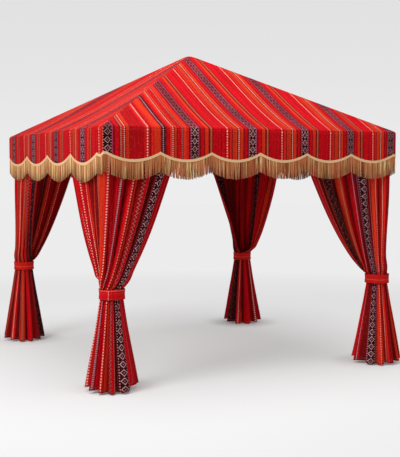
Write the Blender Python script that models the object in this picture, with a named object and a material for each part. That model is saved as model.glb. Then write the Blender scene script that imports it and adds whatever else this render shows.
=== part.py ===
"""Square majlis tent: steel frame, pyramid canopy, scalloped valances with
fringe, and a gathered curtain tied round each corner post.
Metres, ground at z = 0, +Z up, front face towards -Y."""
import math

import bmesh
import bpy
from mathutils import Vector

for old in list(bpy.data.objects):
    bpy.data.objects.remove(old, do_unlink=True)

# plan and heights
HALF = 1.5            # half the side of the canopy
EAVE = 2.24           # sharp eave line
APEX = 3.06           # point where the four slopes meet
CLOTH = 0.004         # thickness of every cloth sheet
GAP = 0.0003          # clearance between neighbours
SLOPE = (APEX - EAVE) / HALF
PITCH = math.atan(SLOPE)

# round fold of the canopy over the eave beam
FOLD_R = 0.026
FOLD_O = HALF - FOLD_R
FOLD_Z = EAVE - FOLD_R * (1 - math.sin(PITCH)) / math.cos(PITCH)
FOLD_STEPS = 4
TIP = 0.05            # the top is rounded inside this distance
PANEL_SAG = 0.036     # depth of the hollow in each slope

# steel frame
BEAM_R, BEAM_WALL = 0.0214, 0.002
RAFTER_R, RAFTER_WALL = 0.016, 0.002
POST, POST_WALL = 0.040, 0.002
POST_IN = 0.105       # post axis from the canopy edge
PLATE, PLATE_T = 0.120, 0.006
BRACKET = 0.130
HUB_R, HUB_LOW, HUB_TOP = 0.075, APEX - 0.096, APEX - 0.048
BEAM_LOW = FOLD_Z - BEAM_R

# valance, braid and fringe
BRAID_W, BRAID_T = 0.024, 0.003
FRINGE = 0.150
FACE_STEPS = 6        # straight pieces in each scallop

# curtains
TIE_IN = 0.12         # axis of the gather from the canopy edge
TIE_LOW, TIE_HIGH = 0.782, 0.868
TIE_R = 0.086
FLARE_R = 0.204
HEM = 0.008
TOP_IN, TOP_TURN = 0.042, 0.040
PLEATS = 12
PLEAT_STEPS = 4
SLIT = math.radians(4)
# reach of each curtain along the beams, at the corner's right and left hand
REACH = {
    "front_left": (0.77, 1.12),
    "front_right": (0.94, 1.10),
    "back_right": (0.66, 0.99),
    "back_left": (1.10, 0.82),
}
# how each curtain opens above its tie at those two edges: 1 is straight,
# and less than 1 is fuller
FULLNESS = {
    "front_left": (0.65, 0.40),
    "front_right": (0.65, 0.66),
    "back_right": (1.00, 0.40),
    "back_left": (0.75, 0.68),
}
CORNERS = list(REACH)
FACES = ["front", "right", "back", "left"]


def material(name, colour, rough, metal=0.0):
    """One plain Principled material."""
    made = bpy.data.materials.new(name)
    made.use_nodes = True
    shader = made.node_tree.nodes["Principled BSDF"]
    shader.inputs["Base Color"].default_value = (*colour, 1.0)
    shader.inputs["Roughness"].default_value = rough
    shader.inputs["Metallic"].default_value = metal
    return made


def solid(name, points, faces, colour, rough, metal=0.0):
    """One closed object from its points and faces."""
    mesh = bpy.data.meshes.new(name)
    mesh.from_pydata([tuple(p) for p in points], [], faces)
    shape = bmesh.new()
    shape.from_mesh(mesh)
    bmesh.ops.recalc_face_normals(shape, faces=shape.faces)
    bmesh.ops.triangulate(shape, faces=shape.faces)
    shape.to_mesh(mesh)
    shape.free()
    mesh.materials.append(material(name, colour, rough, metal))
    made = bpy.data.objects.new(name, mesh)
    bpy.context.scene.collection.objects.link(made)
    return made


def turned(k, x, y, z):
    """A point of the front side or corner, turned k quarters about the axis."""
    for _ in range(k):
        x, y = -y, x
    return (x, y, z)


def sheet(name, outer, inner, colour, rough):
    """A slab between two grids of points with the same rows and columns."""
    rows, cols = len(outer), len(outer[0])
    points = [p for grid in (outer, inner) for row in grid for p in row]

    def at(side, i, j):
        return side * rows * cols + i * cols + j

    faces = []
    for i in range(rows - 1):
        for j in range(cols - 1):
            a, b = at(0, i, j), at(0, i, j + 1)
            c, d = at(0, i + 1, j + 1), at(0, i + 1, j)
            faces.append((a, b, c, d))
            a, b = at(1, i, j), at(1, i, j + 1)
            c, d = at(1, i + 1, j + 1), at(1, i + 1, j)
            faces.append((d, c, b, a))
    for i in range(rows - 1):
        for j in (0, cols - 1):
            faces.append((at(0, i, j), at(0, i + 1, j), at(1, i + 1, j), at(1, i, j)))
    for j in range(cols - 1):
        for i in (0, rows - 1):
            faces.append((at(0, i, j), at(0, i, j + 1), at(1, i, j + 1), at(1, i, j)))
    return solid(name, points, faces, colour, rough)


def tube(name, low, high, radius, wall, sides, colour, rough, metal, start=0.0):
    """A round tube between two points, its end planes upright or level."""
    low, high = Vector(low), Vector(high)
    along = (high - low).normalized()
    level = abs(along.z) > 0.99
    if level:
        across, up = Vector((1, 0, 0)), Vector((0, 1, 0))
    else:
        across = along.cross(Vector((0, 0, 1))).normalized()
        up = Vector((0, 0, 1)) / math.hypot(along.x, along.y)
    points = []
    for end in (low, high):
        for r in (radius, radius - wall):
            for i in range(sides):
                angle = start + 2 * math.pi * i / sides
                points.append(end + across * r * math.cos(angle) + up * r * math.sin(angle))
    faces = []
    for i in range(sides):
        j = (i + 1) % sides
        faces.append((i, j, j + 2 * sides, i + 2 * sides))
        faces.append((i + sides, i + 3 * sides, j + 3 * sides, j + sides))
        faces.append((i, i + sides, j + sides, j))
        faces.append((i + 2 * sides, j + 2 * sides, j + 3 * sides, i + 3 * sides))
    return solid(name, points, faces, colour, rough, metal)


# canopy

def slope_height(o):
    """Height of the outer surface at distance o from the axis, before sag."""
    if o < TIP:
        return APEX - SLOPE * (o * o + TIP * TIP) / (2 * TIP)
    return APEX - SLOPE * o


def hollow(o, side):
    """Sag of a slope, none at hips, eave and top."""
    t = min(1.0, o / (FOLD_O + FOLD_R * math.sin(PITCH)))
    return PANEL_SAG * (1 - side * side) ** 2 * 6.2 * t ** 2.2 * (1 - t)


SLOPE_STOPS = [0.004, 0.05, 0.25, 0.5, 0.75, 0.95, 1.12, 1.27, 1.40]
EDGE_O = FOLD_O + FOLD_R * math.sin(PITCH)


def canopy_profile():
    """Outer and inner points of the section, with how far each may sag."""
    pairs = []
    for o in SLOPE_STOPS + [EDGE_O]:
        tilt = math.atan(SLOPE * min(1.0, o / TIP))
        z = slope_height(o)
        inside = (o - CLOTH * math.sin(tilt), z - CLOTH * math.cos(tilt))
        if o == SLOPE_STOPS[0]:
            inside = (o, z - CLOTH)
        pairs.append(((o, z), inside))
    for i in range(1, FOLD_STEPS + 1):
        angle = PITCH + (math.pi / 2 - PITCH) * i / FOLD_STEPS
        sine, cosine = math.sin(angle), math.cos(angle)
        near = FOLD_R - CLOTH
        pairs.append((
            (FOLD_O + FOLD_R * sine, FOLD_Z + FOLD_R * cosine),
            (FOLD_O + near * sine, FOLD_Z + near * cosine),
        ))
    return pairs


SIDE_STOPS = [-1.0, -0.75, -0.5, -0.25, 0.0, 0.25, 0.5, 0.75, 1.0]


def roof_panel(k):
    grids = ([], [])
    for pair in canopy_profile():
        for grid, (o, z) in zip(grids, pair):
            row = []
            for side in SIDE_STOPS:
                drop = hollow(pair[0][0], side)
                row.append(turned(k, side * (o - GAP), -o, z - drop))
            grid.append(row)
    sheet("roof_panel_" + FACES[k], grids[0], grids[1], (0.55, 0.03, 0.03), 0.85)


# valances

def scallops(k):
    """Ends and hang of each scallop along a side, from its left hand."""
    if k % 2 == 0:
        flat, count = 0.033, 6
        width = (2 * HALF - 2 * flat) / count
        stops = [-HALF] + [-HALF + flat + width * i for i in range(count + 1)] + [HALF]
        drops = [0.0] + [0.065] * count + [0.0]
        return stops, drops, 0.209
    small, count = 0.137, 4
    width = (2 * HALF - small) / count
    stops = [-HALF + width * i for i in range(count + 1)] + [HALF]
    drops = [0.084] * count + [0.016]
    return stops, drops, 0.215


def edge_line(k):
    """Points along a side with the height of the valance's lower edge."""
    stops, drops, least = scallops(k)
    line = []
    for low, high, drop in zip(stops, stops[1:], drops):
        steps = FACE_STEPS if high - low > 0.2 else 2
        for i in range(steps):
            part = i / steps
            depth = least + drop * (1 - (2 * part - 1) ** 2)
            line.append((low + (high - low) * part, EAVE - depth - BRAID_W / 2))
    line.append((HALF, EAVE - least - BRAID_W / 2))
    return line


def strip(name, k, near, far, top, bottom, colour, rough):
    """A strip along a side between two distances from the axis."""
    grids = []
    for o in (far, near):
        grid = []
        for level in (top, bottom):
            row = []
            for s, z in edge_line(k):
                s = max(-(o - GAP), min(o - GAP, s * (o - GAP) / HALF))
                row.append(turned(k, s, -o, level(z)))
            grid.append(row)
        grids.append(grid)
    sheet(name, grids[0], grids[1], colour, rough)


def side_cloths(k):
    name = FACES[k]
    strip("valance_" + name, k, HALF - CLOTH, HALF,
          lambda z: FOLD_Z - GAP, lambda z: z, (0.60, 0.03, 0.03), 0.85)
    strip("braid_" + name, k, HALF + GAP, HALF + GAP + BRAID_T,
          lambda z: z + BRAID_W / 2, lambda z: z - BRAID_W / 2, (0.62, 0.40, 0.20), 0.7)
    strip("fringe_" + name, k, HALF - 0.0045, HALF,
          lambda z: z - GAP, lambda z: z - BRAID_W / 2 - FRINGE, (0.58, 0.38, 0.18), 0.75)


# frame

def frame_side(k):
    reach = HALF - BRACKET - GAP
    ends = [turned(k, s, -FOLD_O, FOLD_Z) for s in (-reach, reach)]
    tube("eave_beam_" + FACES[k], ends[0], ends[1], BEAM_R, BEAM_WALL, 16,
         (0.62, 0.62, 0.64), 0.35, 1.0, math.pi / 2)


def square(k, half, z):
    """Corners of a level square about a post axis."""
    c = -HALF + POST_IN
    return [turned(k, c + dx * half, c + dy * half, z)
            for dx, dy in ((-1, -1), (1, -1), (1, 1), (-1, 1))]


def corner_steel(k):
    name = CORNERS[k]
    metal = (0.62, 0.62, 0.64)
    plate = square(k, PLATE / 2, 0.0) + square(k, PLATE / 2, PLATE_T)
    box = [(0, 1, 2, 3), (4, 5, 6, 7), (0, 1, 5, 4), (1, 2, 6, 5), (2, 3, 7, 6), (3, 0, 4, 7)]
    solid("foot_plate_" + name, plate, box, metal, 0.4, 1.0)
    low, high = PLATE_T + GAP, BEAM_LOW - GAP
    rings = []
    for z in (low, high):
        for half in (POST / 2, POST / 2 - POST_WALL):
            rings += square(k, half, z)
    faces = []
    for i in range(4):
        j = (i + 1) % 4
        faces.append((i, j, j + 8, i + 8))
        faces.append((i + 4, i + 12, j + 12, j + 4))
        faces.append((i, i + 4, j + 4, j))
        faces.append((i + 8, j + 8, j + 12, i + 12))
    solid("post_" + name, rings, faces, metal, 0.35, 1.0)


def bracket(k):
    """Cast corner that holds two beams, the rafter foot and the post."""
    near, far, cut = CLOTH + GAP, BRACKET, BRACKET / 2
    middle = (far + cut) / 2
    top = FOLD_Z - 2 * GAP

    def under(inset):
        return EAVE + SLOPE * inset - CLOTH / math.cos(PITCH) - 2 * GAP

    spots = [(near, near), (far, near), (far, cut), (cut, far), (near, far)]
    points = [(a, b, BEAM_LOW) for a, b in spots]
    points += [(near, near, top), (far, near, top), (near, far, top)]
    points += [(far, cut, under(cut)), (cut, far, under(cut)), (middle, middle, under(middle))]
    shape = bmesh.new()
    for a, b, z in points:
        shape.verts.new(turned(k, -HALF + a, -HALF + b, z))
    bmesh.ops.convex_hull(shape, input=shape.verts)
    mesh = bpy.data.meshes.new("hull")
    shape.to_mesh(mesh)
    shape.free()
    solid("corner_bracket_" + CORNERS[k], [v.co for v in mesh.vertices],
          [tuple(p.vertices) for p in mesh.polygons], (0.45, 0.45, 0.47), 0.45, 1.0)


def rafter(k):
    """Hip rafter from the corner bracket to the hub."""
    drop = (RAFTER_R + CLOTH + 3 * GAP) / math.cos(PITCH)
    middle = (BRACKET + BRACKET / 2) / 2
    outer = (HALF - middle) - GAP
    inner = HUB_R / math.sqrt(2) + GAP
    ends = [turned(k, -o, -o, APEX - SLOPE * o - drop) for o in (outer, inner)]
    tube("hip_rafter_" + CORNERS[k], ends[0], ends[1], RAFTER_R, RAFTER_WALL, 16,
         (0.62, 0.62, 0.64), 0.35, 1.0, math.pi / 2)


def hub():
    """Eight sided hub under the top of the canopy."""
    ring = HUB_R / math.cos(math.pi / 8)
    points = []
    for r, z in ((ring, HUB_LOW), (ring, HUB_TOP), (0.03, APEX - 0.027)):
        for i in range(8):
            angle = math.pi / 8 + math.pi / 4 * i
            points.append((r * math.cos(angle), r * math.sin(angle), z))
    faces = [tuple(range(8)), tuple(range(16, 24))]
    for level in (0, 8):
        for i in range(8):
            j = (i + 1) % 8
            faces.append((level + i, level + j, level + 8 + j, level + 8 + i))
    solid("apex_hub", points, faces, (0.45, 0.45, 0.47), 0.45, 1.0)


# curtains

def top_path(u, reach_a, reach_b):
    """Point and outward direction on the turned line under the beams."""
    turn = TOP_TURN * math.pi / 2
    first = reach_a - TOP_IN - TOP_TURN
    second = reach_b - TOP_IN - TOP_TURN
    run = u * (first + turn + second)
    if run <= first:
        return (reach_a - run, TOP_IN), (0.0, -1.0)
    if run <= first + turn:
        angle = (run - first) / TOP_TURN
        nx, ny = -math.sin(angle), -math.cos(angle)
        c = TOP_IN + TOP_TURN
        return (c + TOP_TURN * nx, c + TOP_TURN * ny), (nx, ny)
    return (TOP_IN, TOP_IN + TOP_TURN + run - first - turn), (-1.0, 0.0)


def ring_path(u, radius):
    """Point and outward direction on the circle round the post."""
    angle = math.pi / 4 - SLIT - u * (2 * math.pi - 2 * SLIT)
    nx, ny = math.cos(angle), math.sin(angle)
    return (TIE_IN + radius * nx, TIE_IN + radius * ny), (nx, ny)


CURTAIN_LEVELS = [HEM, 0.26, 0.52, TIE_LOW, TIE_HIGH, 0.91, 0.99, 1.15, 1.44, 1.82, BEAM_LOW - GAP]


def curtain(k):
    reach_a, reach_b = REACH[CORNERS[k]]
    full_a, full_b = FULLNESS[CORNERS[k]]
    columns = PLEATS * PLEAT_STEPS
    grids = ([], [])
    for z in CURTAIN_LEVELS:
        rise = max(0.0, (z - TIE_HIGH) / (CURTAIN_LEVELS[-1] - TIE_HIGH))
        fall = max(0.0, (TIE_LOW - z) / (TIE_LOW - HEM))
        radius = TIE_R + (FLARE_R - TIE_R) * fall
        rows = ([], [])
        for i in range(columns + 1):
            u = i / columns
            spread = rise ** (full_a + (full_b - full_a) * u)
            depth = 0.012 + 0.019 * fall + 0.012 * spread
            (ra, rb), (na, nb) = ring_path(u, radius)
            (ta, tb), (ma, mb) = top_path(u, reach_a, reach_b)
            a, b = ra + (ta - ra) * spread, rb + (tb - rb) * spread
            na, nb = na + (ma - na) * spread, nb + (mb - nb) * spread
            size = math.hypot(na, nb)
            na, nb = na / size, nb / size
            wave = -math.cos(2 * math.pi * PLEATS * u) * depth
            for row, side in zip(rows, (CLOTH / 2, -CLOTH / 2)):
                x, y = a + na * (wave + side), b + nb * (wave + side)
                row.append(turned(k, -HALF + x, -HALF + y, z))
        for grid, row in zip(grids, rows):
            grid.append(row)
    sheet("curtain_" + CORNERS[k], grids[0], grids[1], (0.55, 0.02, 0.02), 0.85)


def wraps(k):
    """Tie-back band round the gather and cloth sleeve round the post."""
    c = -HALF + TIE_IN
    tube("tieback_" + CORNERS[k], turned(k, c, c, TIE_LOW), turned(k, c, c, TIE_HIGH),
         0.109, 0.0078, 24, (0.62, 0.03, 0.03), 0.8, 0.0)
    c = -HALF + POST_IN
    tube("post_sleeve_" + CORNERS[k], turned(k, c, c, PLATE_T + GAP),
         turned(k, c, c, BEAM_LOW - 2 * GAP), 0.0316, 0.003, 16, (0.5, 0.02, 0.02), 0.85, 0.0)


hub()
for quarter in range(4):
    corner_steel(quarter)
    bracket(quarter)
    frame_side(quarter)
    rafter(quarter)
    roof_panel(quarter)
    side_cloths(quarter)
    curtain(quarter)
    wraps(quarter)
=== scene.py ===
import math
from functools import partialmethod

import bmesh
import bpy
import numpy as np
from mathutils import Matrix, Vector, noise


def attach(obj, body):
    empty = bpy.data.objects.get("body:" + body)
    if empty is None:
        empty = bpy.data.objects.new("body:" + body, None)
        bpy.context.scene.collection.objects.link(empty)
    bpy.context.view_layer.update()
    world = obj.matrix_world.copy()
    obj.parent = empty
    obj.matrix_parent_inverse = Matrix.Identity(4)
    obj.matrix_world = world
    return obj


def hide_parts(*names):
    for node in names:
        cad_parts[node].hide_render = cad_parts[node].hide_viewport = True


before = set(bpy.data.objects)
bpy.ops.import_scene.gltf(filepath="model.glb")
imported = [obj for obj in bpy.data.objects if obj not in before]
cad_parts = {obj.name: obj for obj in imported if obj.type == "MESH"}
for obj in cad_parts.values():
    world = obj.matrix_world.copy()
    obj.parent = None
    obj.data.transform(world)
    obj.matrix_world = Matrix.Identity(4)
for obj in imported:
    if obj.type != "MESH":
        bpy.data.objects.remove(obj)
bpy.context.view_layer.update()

ROOT = "root"

# Plan and heights in metres, as in the solids
HALF = 1.5  # half the side of the canopy
EAVE = 2.24  # sharp eave line
APEX = 3.06  # point where the four slopes meet
SLOPE = (APEX - EAVE) / HALF
PITCH = math.atan(SLOPE)
TIP = 0.05  # the top is rounded inside this distance
PANEL_SAG = 0.036  # sets the depth of the hollow in each slope

# Round fold of the canopy over the eave beam
FOLD_R = 0.026
FOLD_O = HALF - FOLD_R
FOLD_Z = EAVE - FOLD_R * (1 - math.sin(PITCH)) / math.cos(PITCH)
EDGE_O = FOLD_O + FOLD_R * math.sin(PITCH)  # where slope and fold meet
BEAM_R = 0.0214
BEAM_LOW = FOLD_Z - BEAM_R
TURN_R = 0.016  # rounding of hips and corners in plan
SLOPE_LENGTH = 1.70  # along the cloth from the top to the fold
ROOF_LENGTH = SLOPE_LENGTH + 0.03

# Braid and fringe
BRAID_W = 0.024
FRINGE = 0.150

# Posts, gathers and curtains
POST_IN = 0.105  # post axis from the canopy edge
TIE_IN = 0.12  # axis of the gather from the canopy edge
TIE_LOW, TIE_HIGH = 0.782, 0.868
TIE_R = 0.086  # radius of the gather at the tie
FLARE_R = 0.204  # radius of the gather at the hem
HEM = 0.008  # least height of the hem
TOP_IN = 0.042  # top edge of a curtain from the canopy edge
TOP_TURN = 0.040  # radius of that edge at the corner
PLEATS = 12

# Reach of each curtain along the beams, at the corner's right and left hand
REACH = {
    "front_left": (0.77, 1.12),
    "front_right": (0.94, 1.10),
    "back_right": (0.66, 0.99),
    "back_left": (1.10, 0.82),
}
# How each curtain opens above its tie at those two edges: 1 is straight, less is fuller
FULLNESS = {
    "front_left": (0.77, 0.69),
    "front_right": (0.65, 0.68),
    "back_right": (1.15, 0.43),
    "back_left": (1.10, 0.70),
}
CORNERS = list(REACH)
FACES = ["front", "right", "back", "left"]

# Thickness of each cloth
CANOPY_T, CURTAIN_T, BAND_T, SLEEVE_T = 0.0025, 0.002, 0.003, 0.001
WELD = 1e-5  # points closer than this become one
FRINGE_SEED, CURTAIN_SEED = 11, 40
rng = np.random.default_rng(FRINGE_SEED)


# Mesh helpers

def turned(k, x, y):
    """Plan coordinates turned k quarters about the axis."""
    for _ in range(k):
        x, y = -y, x
    return x, y


def make(name, points, faces, maps=None, smooth=True):
    """A mesh object from arrays. maps gives UV maps as one pair for each point."""
    mesh = bpy.data.meshes.new(name)
    quads = [tuple(map(int, face)) for face in faces]
    mesh.from_pydata(np.asarray(points, float).tolist(), [], quads)
    if maps:
        loops = np.zeros(len(mesh.loops), np.int32)
        mesh.loops.foreach_get("vertex_index", loops)
        for title, values in maps.items():
            layer = mesh.uv_layers.new(name=title)
            layer.data.foreach_set("uv", np.asarray(values, float)[loops].ravel())
    if smooth:
        mesh.polygons.foreach_set("use_smooth", [True] * len(mesh.polygons))
    mesh.update()
    made = bpy.data.objects.new(name, mesh)
    bpy.context.scene.collection.objects.link(made)
    return made


def grid_faces(rows, cols, start=0, loop=False):
    """Quads of a grid of points that begin at start, closed round the columns if loop."""
    last = cols if loop else cols - 1
    i, j = np.meshgrid(np.arange(rows - 1), np.arange(last), indexing="ij")
    n = (j + 1) % cols
    quads = np.stack([i * cols + j, i * cols + n, (i + 1) * cols + n, (i + 1) * cols + j], -1)
    return quads.reshape(-1, 4) + start


def uv_map(u, v):
    return np.stack(np.broadcast_arrays(u, v), -1).reshape(-1, 2)


def weld(piece):
    shape = bmesh.new()
    shape.from_mesh(piece.data)
    bmesh.ops.remove_doubles(shape, verts=shape.verts, dist=WELD)
    shape.to_mesh(piece.data)
    shape.free()


def thicken(piece, amount, offset=-1.0):
    """Give a sheet its thickness, to one side, or half to each side with offset 0."""
    shell = piece.modifiers.new("cloth", "SOLIDIFY")
    shell.thickness = amount
    shell.offset = offset
    shell.use_rim = True


def finish_piece(piece, material, nodes):
    """Give a piece its material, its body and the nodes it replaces."""
    piece.data.materials.clear()
    piece.data.materials.append(material)
    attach(piece, ROOT)
    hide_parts(*nodes)
    return piece


# Materials

class Graph:
    """Short ways to add shader nodes."""

    def __init__(self, name, rough):
        self.material = bpy.data.materials.new(name)
        self.material.use_nodes = True
        self.tree = self.material.node_tree
        self.shader = self.tree.nodes["Principled BSDF"]
        self.shader.inputs["Roughness"].default_value = rough

    def link(self, value, socket):
        if isinstance(value, tuple):
            whole = len(value) == 4 or socket.type == "VECTOR"
            socket.default_value = value if whole else (*value, 1)
        elif isinstance(value, (int, float)):
            socket.default_value = value
        else:
            self.tree.links.new(value, socket)

    def node(self, kind, *values):
        """A new node, its first inputs filled in their order."""
        node = self.tree.nodes.new("ShaderNode" + kind)
        for socket, value in zip(node.inputs, values):
            self.link(value, socket)
        return node

    def math(self, kind, a, b=0.0, c=0.0):
        node = self.node("Math", a, b, c)
        node.operation = kind
        return node.outputs[0]

    plus = partialmethod(math, "ADD")
    minus = partialmethod(math, "SUBTRACT")
    times = partialmethod(math, "MULTIPLY")
    over = partialmethod(math, "DIVIDE")
    below = partialmethod(math, "LESS_THAN")
    above = partialmethod(math, "GREATER_THAN")

    def near(self, value, at, reach):
        """1 where value is less than reach away from at, else 0."""
        return self.below(self.math("ABSOLUTE", self.minus(value, at)), reach)

    def both(self, *masks):
        """Product of two or more masks."""
        out = masks[0]
        for mask in masks[1:]:
            out = self.times(out, mask)
        return out

    def mix(self, factor, a, b, kind="MIX"):
        node = self.node("Mix")
        node.data_type, node.blend_type = "RGBA", kind
        self.link(factor, node.inputs["Factor"])
        self.link(a, node.inputs[6])
        self.link(b, node.inputs[7])
        return node.outputs[2]

    def shaded(self, colour, tone):
        """A colour multiplied by one grey tone."""
        return self.mix(1.0, colour, self.vector(tone, tone, tone), "MULTIPLY")

    def uv(self, title):
        node = self.node("UVMap")
        node.uv_map = title
        return self.apart(node.outputs[0])

    def apart(self, vector):
        """First and second part of a vector."""
        node = self.node("SeparateXYZ", vector)
        return node.outputs[0], node.outputs[1]

    def vector(self, x, y, z=0.0):
        return self.node("CombineXYZ", x, y, z).outputs[0]

    def place(self):
        return self.node("TexCoord").outputs["Object"]

    def noise(self, vector, scale, detail, rough=0.5):
        node = self.node("TexNoise")
        self.link(vector, node.inputs["Vector"])
        self.link(scale, node.inputs["Scale"])
        self.link(detail, node.inputs["Detail"])
        self.link(rough, node.inputs["Roughness"])
        return node.outputs[0]

    def yarn(self, u, v, detail, rough=0.5):
        """Noise over two distances that are already scaled."""
        return self.noise(self.vector(u, v), 1.0, detail, rough)

    def ramp(self, factor, stops, kind="LINEAR"):
        node = self.node("ValToRGB", factor)
        ramp = node.color_ramp
        ramp.interpolation = kind
        while len(ramp.elements) < len(stops):
            ramp.elements.new(0.5)
        for element, stop in zip(ramp.elements, stops):
            element.position = stop[0]
        for element, stop in zip(ramp.elements, stops):
            element.color = (*stop[1], 1.0)
        return node.outputs[0]

    def split(self, colour):
        node = self.node("SeparateColor", colour)
        return node.outputs[0], node.outputs[1], node.outputs[2]

    def spread(self, value, low, high, to_low, to_high):
        """Value from low to high, taken over to the range to_low to to_high."""
        return self.node("MapRange", value, low, high, to_low, to_high).outputs[0]

    def bump(self, height, strength, distance):
        node = self.node("Bump")
        self.link(strength, node.inputs["Strength"])
        self.link(distance, node.inputs["Distance"])
        self.link(height, node.inputs["Height"])
        self.link(node.outputs[0], self.shader.inputs["Normal"])

    def surface(self, colour, rough, specular=None):
        self.link(colour, self.shader.inputs["Base Color"])
        self.link(rough, self.shader.inputs["Roughness"])
        if specular is not None:
            self.link(specular, self.shader.inputs["Specular IOR Level"])


def rgb(r, g, b):
    """Linear colour from display values of 0 to 255."""
    shares = [c / 255 for c in (r, g, b)]
    return tuple(((c + 0.055) / 1.055) ** 2.4 if c > 0.04 else c / 12.92 for c in shares)


CRIMSON, RED, DARK = rgb(188, 2, 18), rgb(192, 20, 18), rgb(138, 6, 12)
WINE, BLACK, ORANGE = rgb(112, 10, 14), rgb(32, 10, 16), rgb(200, 46, 22)
SCARLET, LILAC, TAN = rgb(200, 30, 20), rgb(160, 62, 96), rgb(146, 50, 30)
CREAM, GREY, ASH = rgb(232, 172, 160), rgb(190, 120, 104), rgb(206, 168, 172)
MAROON = rgb(162, 6, 16)
FADED, PLUM, ROSE = rgb(108, 8, 24), rgb(90, 26, 36), rgb(170, 86, 90)
# Dim ring and stud of the diamond motif: painted shade
PAINTED_SHADE_RING, PAINTED_SHADE_STUD, BROWN = rgb(120, 70, 62), rgb(150, 100, 84), rgb(112, 30, 22)
AMBER, SHELL, MAUVE = rgb(204, 72, 36), rgb(230, 172, 154), rgb(172, 124, 136)
CORAL, SLUB, WEBBING = rgb(190, 100, 92), rgb(206, 70, 54), rgb(180, 26, 18)
STITCH, SALMON, GLOW = rgb(240, 180, 160), rgb(220, 112, 88), rgb(216, 70, 50)
PEACH, RUST = rgb(216, 96, 66), rgb(204, 80, 54)
CORD_DARK, CORD_PALE, CORD_EDGE = rgb(206, 158, 110), rgb(234, 196, 152), rgb(238, 202, 158)
THREAD_RED = rgb(198, 104, 66)
THREAD_TONES = [
    (0.0, rgb(80, 20, 14)), (0.18, rgb(130, 50, 30)), (0.40, rgb(170, 96, 54)),
    (0.62, rgb(186, 138, 80)), (0.80, rgb(194, 138, 82)), (1.0, rgb(250, 220, 164)),
]
STEEL_DARK, STEEL_PALE, STAIN = rgb(150, 153, 158), rgb(186, 189, 194), rgb(120, 120, 118)
CAST_DARK, CAST_PALE = rgb(124, 126, 130), rgb(158, 160, 164)

# Stripes of the repeats, in millimetres, each with its colour and any motif woven on it.
# A canopy repeat begins and ends in the middle of a black band. LONG is used in the
# first of every five repeats and SHORT in the rest.
LONG = [
    (30, BLACK, "diamond"), (5, LILAC), (20, DARK), (26, CRIMSON), (8, WINE),
    (22, TAN, "specks"), (6, RED), (18, DARK, "pearls"), (8, SCARLET), (18, ORANGE, "dots"),
    (8, DARK), (108, MAROON), (12, RED), (30, RED, "beads"), (14, DARK), (26, SCARLET),
    (46, ORANGE), (10, DARK), (26, BLACK, "dashes"), (16, DARK), (24, CRIMSON), (16, ORANGE),
    (16, DARK, "pearls"), (16, ORANGE, "dots"), (12, DARK), (26, CRIMSON), (20, WINE, "specks"),
    (20, ORANGE), (20, SCARLET), (18, WINE), (5, LILAC), (30, BLACK, "diamond"),
]
SHORT = [
    (32, BLACK, "diamond"), (6, LILAC), (14, WINE), (28, CRIMSON), (8, DARK), (30, ORANGE),
    (14, WINE), (20, TAN, "specks"), (10, DARK), (66, CRIMSON), (6, WINE), (30, CRIMSON),
    (8, DARK), (26, RED, "beads"), (8, DARK), (20, SCARLET), (8, WINE), (38, ORANGE, "dots"),
    (8, WINE), (20, DARK, "pearls"), (28, ORANGE), (12, WINE), (24, CRIMSON), (14, WINE),
    (6, LILAC), (32, BLACK, "diamond"),
]
# The part of each curtain's cloth that is seen most, from one free edge inwards
# Some black bands carry dim diamonds in random patches, a painted shade
CURTAIN_STRIPES = {
    "front_left": [
        (68, CRIMSON), (5, LILAC), (96, BLACK, "diamond"), (5, LILAC), (52, WINE),
        (40, MAROON, "specks"), (24, CRIMSON), (46, WINE, "zigzag"), (40, DARK), (34, ORANGE),
        (12, DARK), (46, RED, "beads"), (40, CRIMSON), (30, WINE), (38, CRIMSON),
        (54, DARK, "dashes"), (56, CRIMSON), (30, WINE), (20, RED), (50, RED, "beads"),
        (60, ORANGE), (34, WINE), (46, ORANGE), (30, TAN, "specks"), (46, ORANGE),
    ],
    "front_right": [
        (50, MAROON), (24, DARK, "specks"), (86, WINE), (14, TAN), (136, BLACK, "painted_shade_patches"),
        (14, LILAC), (20, WINE), (38, ORANGE), (22, TAN, "specks"), (38, ORANGE), (84, CRIMSON),
        (20, WINE), (40, MAROON), (24, MAROON, "dashes"), (86, WINE), (12, LILAC),
        (124, BLACK, "diamond"), (12, LILAC), (24, DARK), (20, DARK, "specks"), (36, ORANGE),
        (34, RED, "beads"), (44, ORANGE), (36, WINE), (24, SCARLET), (18, RED, "pearls"),
        (18, SCARLET), (36, DARK), (40, MAROON),
    ],
    "back_right": [
        (66, MAROON), (30, DARK, "specks"), (136, BLACK, "painted_shade_patches"), (50, WINE), (70, MAROON),
        (66, WINE), (40, DARK, "dashes"), (60, WINE), (70, MAROON), (60, WINE), (80, CRIMSON),
        (50, DARK, "specks"), (80, WINE), (90, CRIMSON), (70, DARK), (140, BLACK, "painted_shade_patches"),
        (50, WINE), (120, MAROON), (50, DARK, "beads"), (90, CRIMSON),
    ],
    "back_left": [
        (40, DARK), (180, BLACK, "painted_shade_patches"), (60, WINE), (50, CRIMSON), (50, DARK, "zigzag"),
        (60, CRIMSON), (40, WINE), (36, ORANGE), (22, TAN, "specks"), (32, ORANGE), (20, DARK),
        (30, DARK, "beads"), (50, WINE), (14, RED), (36, RED, "beads"), (80, SCARLET),
        (50, WINE), (60, TAN), (22, TAN, "specks"), (20, MAROON), (24, MAROON, "pearls"),
        (14, MAROON),
    ],
}
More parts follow.
